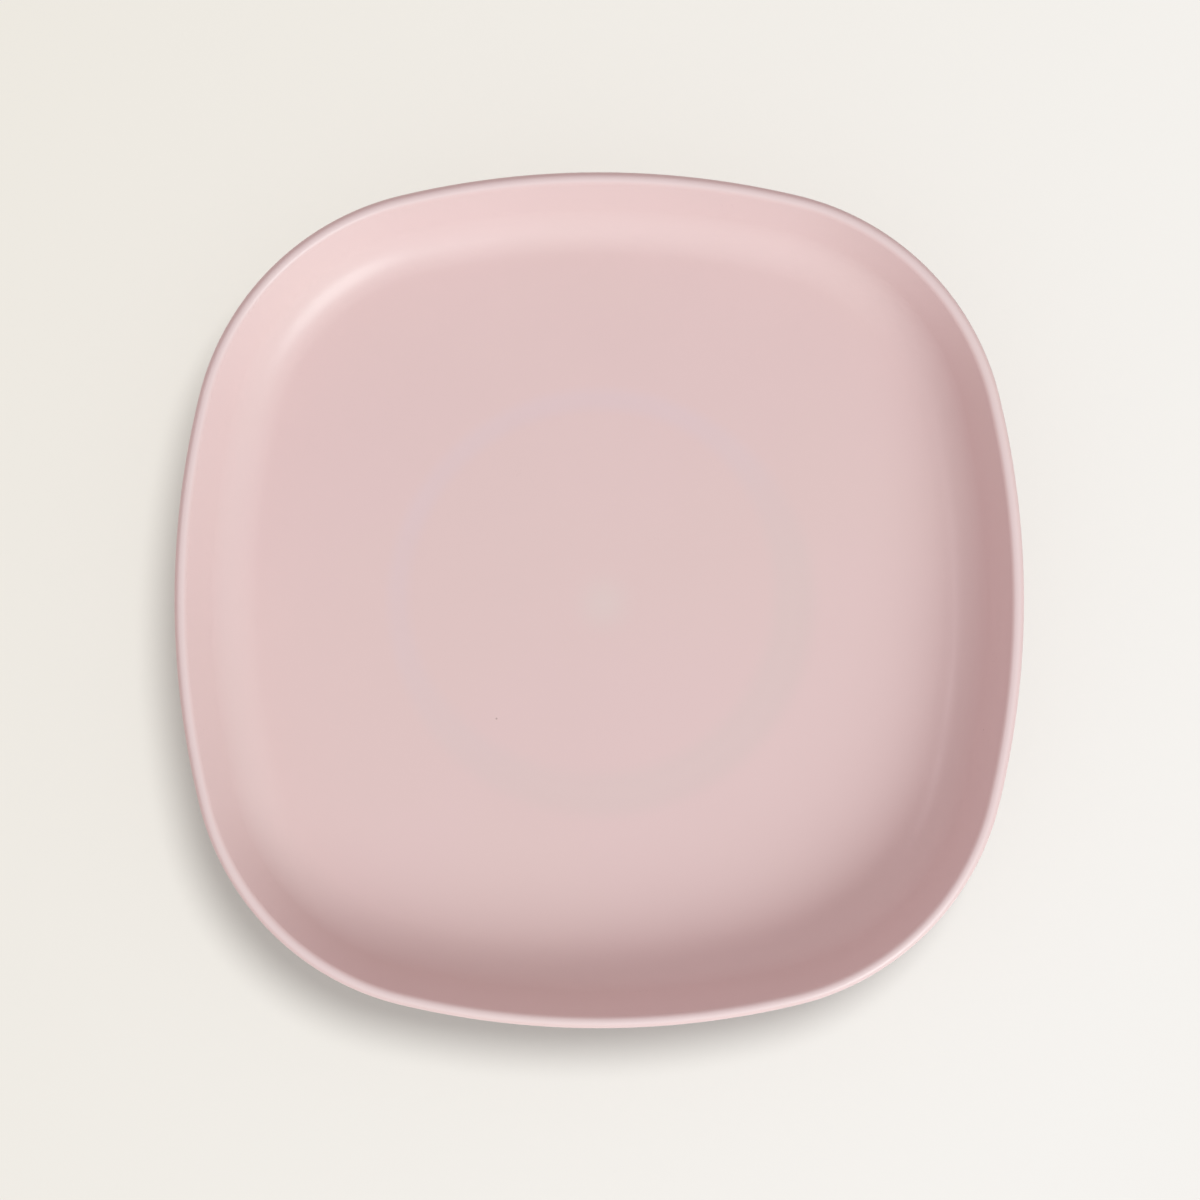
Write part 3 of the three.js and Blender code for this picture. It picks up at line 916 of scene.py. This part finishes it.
class SUCTION_PLATE_OT_tab(bpy.types.Operator):
    """Model the release tab, with ribs across it and its root in the skirt"""
    bl_idname = "suction_plate.tab"
    bl_label = "Release tab"

    turn_steps = 96
    curve_steps = 24
    root_depth = 0.0007  # how far the root reaches into the skirt
    bend_loops = 16
    bend_start, bend_end = 0.002, 0.014  # from the tab's inner end

    def execute(self, context):
        sizes = context.scene.silicone_sizes
        channel = Channel(context.scene.plate_sizes, sizes)
        piece = self.tongue(sizes, channel)
        cut_with(piece, self.skirt_room(sizes, channel), 'DIFFERENCE')
        for rib in range(sizes.rib_count):
            cut_with(piece, self.rib(sizes, tab_low.y + sizes.rib_inset + rib * sizes.rib_pitch), 'UNION')
        self.bend_cuts(piece)
        finish_silicone(context, piece, "release_tab")
        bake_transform(piece)
        return {'FINISHED'}

    def tongue(self, sizes, channel):
        """Tongue with a round end and a filleted root, drawn in plan and pushed up to its thickness."""
        def low(x, y):
            return Vector((x, y, tab_low.z))

        half, root = sizes.tab_width / 2, sizes.tab_root
        start, shoulder, tip = -channel.wall_in, -channel.lip_out - root, tab_low.y + half
        quarter, root_steps = math.pi / 2, self.curve_steps // 2
        chain = Chain("silicone_tab", low(half + root, start))
        chain.line(low(half + root, shoulder + root))
        chain.arc(low(half + root, shoulder), quarter, root_steps, UP)
        chain.line(low(half, tip))
        chain.arc(low(0, tip), -math.pi, 2 * self.curve_steps, UP)
        chain.line(low(-half, shoulder))
        chain.arc(low(-half - root, shoulder), quarter, root_steps, UP)
        chain.line(low(-half - root, start), low(half + root, start))
        merge_corners()
        bpy.ops.mesh.edge_face_add()
        push(sizes.tab_thickness)
        merge_corners()
        pick(chain.piece, 'EDGE', lambda edge: abs(edge.verts[0].co.z - edge.verts[1].co.z) < SAME)
        round_edges(sizes.tab_edge, segments=4)
        merge_corners()
        return chain.piece

    def skirt_room(self, sizes, channel):
        """Space inside the skirt, up to where the tab's root ends in it."""
        flare, radius = channel.flare, sizes.flare_radius + self.root_depth
        chain = Chain("skirt_room", at(0, -sizes.base))
        chain.line(at(flare.x, -sizes.base), at(flare.x, flare.z - radius))
        chain.arc(flare, -math.pi / 2, self.curve_steps)
        chain.line(at(0, flare.z))
        chain.revolve(self.turn_steps)
        clear_selection()
        return chain.piece

    def rib(self, sizes, place):
        """Round-ended bar across the tab: a ball drawn out in the middle."""
        clear_selection()
        middle = Vector((0, place, tab_low.z + sizes.tab_thickness))
        bpy.ops.mesh.primitive_uv_sphere_add(
            segments=32, ring_count=16, radius=sizes.rib_radius, location=middle, rotation=(0, math.pi / 2, 0))
        bpy.ops.object.transform_apply(location=True, rotation=True, scale=True)
        bar = bpy.context.object
        bpy.ops.object.mode_set(mode='EDIT')
        for side in (-1, 1):
            pick(bar, 'FACE', lambda face: side * face.calc_center_median().x > SAME)
            bpy.ops.transform.translate(value=(side * sizes.rib_length / 2, 0, 0))
        clear_selection()
        return bar

    def bend_cuts(self, piece):
        """Cut the tab across at even steps along its whole length."""
        bpy.context.view_layer.objects.active = piece
        bpy.ops.object.mode_set(mode='EDIT')
        first, last = tab_high.y, tab_low.y
        for loop in range(1, self.bend_loops):
            bpy.ops.mesh.select_all(action='SELECT')
            place = first + (last - first) * loop / self.bend_loops
            bpy.ops.mesh.bisect(plane_co=(0, place, 0), plane_no=(0, 1, 0))
        merge_corners()


class SUCTION_PLATE_OT_stage(bpy.types.Operator):
    """Add the floor, the light and the camera"""
    bl_idname = "suction_plate.stage"
    bl_label = "Stage"

    floor_size = 8.0
    under_size = 0.106  # across the light under the foot
    under_gap = 0.0004  # from the floor up to it

    def execute(self, context):
        stage = context.scene.plate_stage
        pieces = list(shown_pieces())
        floor = self.floor(stage)
        self.softbox(stage, "key", pieces)
        for name, lit in (("fill", pieces), ("floor", [floor])):
            self.sun(stage, name, lit)
        self.under_light(stage)
        context.scene.world = even_sky(stage)
        self.camera(context, stage)
        context.scene.view_settings.view_transform = 'Standard'
        return {'FINISHED'}

    def floor(self, stage):
        """Level floor under the lip."""
        clear_selection()
        bpy.ops.mesh.primitive_grid_add(x_subdivisions=8, y_subdivisions=8, size=self.floor_size)
        floor = bpy.context.object
        floor.name = "floor"
        floor.data.materials.append(matt_floor(stage))
        floor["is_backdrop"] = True
        clear_selection()
        return floor

    def towards(self, stage, name):
        """Direction that a light comes from."""
        direction, height = getattr(stage, f"{name}_from"), getattr(stage, f"{name}_height")
        return Vector((
            math.cos(height) * math.cos(direction),
            math.cos(height) * math.sin(direction),
            math.sin(height),
        ))

    def light(self, stage, name, lit, lamp):
        """Name and tint a lamp, and let it light only these objects."""
        lamp.name = name + "_light"
        lamp.data.color = getattr(stage, f"{name}_colour")
        group = bpy.data.collections.new(name + "_lit")
        for piece in lit:
            group.objects.link(piece)
        lamp.light_linking.receiver_collection = group

    def sun(self, stage, name, lit):
        """Soft light from far away."""
        towards = self.towards(stage, name)
        bpy.ops.object.light_add(type='SUN', rotation=towards.to_track_quat('Z', 'Y').to_euler())
        lamp = bpy.context.object
        lamp.data.angle = getattr(stage, f"{name}_softness")
        lamp.data.energy = getattr(stage, f"{name}_power")
        self.light(stage, name, lit, lamp)

    def disc(self, location, rotation, size, energy):
        """Round lamp."""
        bpy.ops.object.light_add(type='AREA', location=location, rotation=rotation)
        lamp = bpy.context.object
        lamp.data.shape = 'DISK'
        lamp.data.size = size
        lamp.data.energy = energy
        return lamp

    def softbox(self, stage, name, lit):
        """Round softbox, as bright on the plate as a far light of the same power and softness."""
        towards, distance = self.towards(stage, name), getattr(stage, f"{name}_distance")
        half = getattr(stage, f"{name}_softness") / 2
        energy = getattr(stage, f"{name}_power") * math.pi * (distance / math.cos(half)) ** 2
        turn = towards.to_track_quat('Z', 'Y').to_euler()
        lamp = self.disc(towards * distance, turn, 2 * distance * math.tan(half), energy)
        self.light(stage, name, lit, lamp)

    def under_light(self, stage):
        """Dim disc on the floor inside the sealing lip, for looking at the foot from below."""
        lamp = self.disc((0, 0, self.under_gap), (math.pi, 0, 0), self.under_size, stage.under_power)
        lamp.name = "under_light"
        lamp.visible_camera = False
        lamp.visible_glossy = False

    def camera(self, context, stage):
        """Camera that looks straight down on the plate."""
        bpy.ops.object.camera_add(location=(0, 0, stage.camera_height), rotation=(0, 0, 0))
        camera = bpy.context.object
        camera.name = "camera"
        camera.data.lens = stage.lens
        camera.data.shift_x = stage.shift_right
        camera.data.shift_y = stage.shift_up
        context.scene.camera = camera


class SUCTION_PLATE_PT_panel(bpy.types.Panel):
    """Lists the sizes, finishes and steps"""
    bl_idname = "SUCTION_PLATE_PT_panel"
    bl_label = "Suction plate"
    bl_space_type = 'VIEW_3D'
    bl_region_type = 'UI'
    bl_category = "Plate"

    def draw(self, context):
        for settings in (
            context.scene.plate_sizes,
            context.scene.silicone_sizes,
            context.scene.plate_finishes,
            context.scene.plate_stage,
        ):
            box = self.layout.box()
            for name in settings.bl_rna.properties.keys():
                if name not in {"rna_type", "name"}:
                    box.prop(settings, name)
        for step in STEPS:
            self.layout.operator(step.bl_idname)


STEPS = (
    SUCTION_PLATE_OT_plate,
    SUCTION_PLATE_OT_foot,
    SUCTION_PLATE_OT_lip,
    SUCTION_PLATE_OT_tab,
    SUCTION_PLATE_OT_stage,
)
SETTINGS = {
    "plate_sizes": PlateSizes,
    "silicone_sizes": SiliconeSizes,
    "plate_finishes": Finishes,
    "plate_stage": StageSettings,
}


def register():
    """Register the settings, the steps and the panel."""
    for name, group in SETTINGS.items():
        bpy.utils.register_class(group)
        setattr(bpy.types.Scene, name, PointerProperty(type=group))
    for step in (*STEPS, SUCTION_PLATE_PT_panel):
        bpy.utils.register_class(step)


def unregister():
    """Take them all away again."""
    for step in (SUCTION_PLATE_PT_panel, *reversed(STEPS)):
        bpy.utils.unregister_class(step)
    for name, group in SETTINGS.items():
        delattr(bpy.types.Scene, name)
        bpy.utils.unregister_class(group)


def main():
    """Build the plate, its foot and the stage."""
    register()
    bpy.ops.suction_plate.plate()
    bpy.ops.suction_plate.foot()
    bpy.ops.suction_plate.lip()
    bpy.ops.suction_plate.tab()
    bpy.ops.suction_plate.stage()


if __name__ == "__main__":
    main()
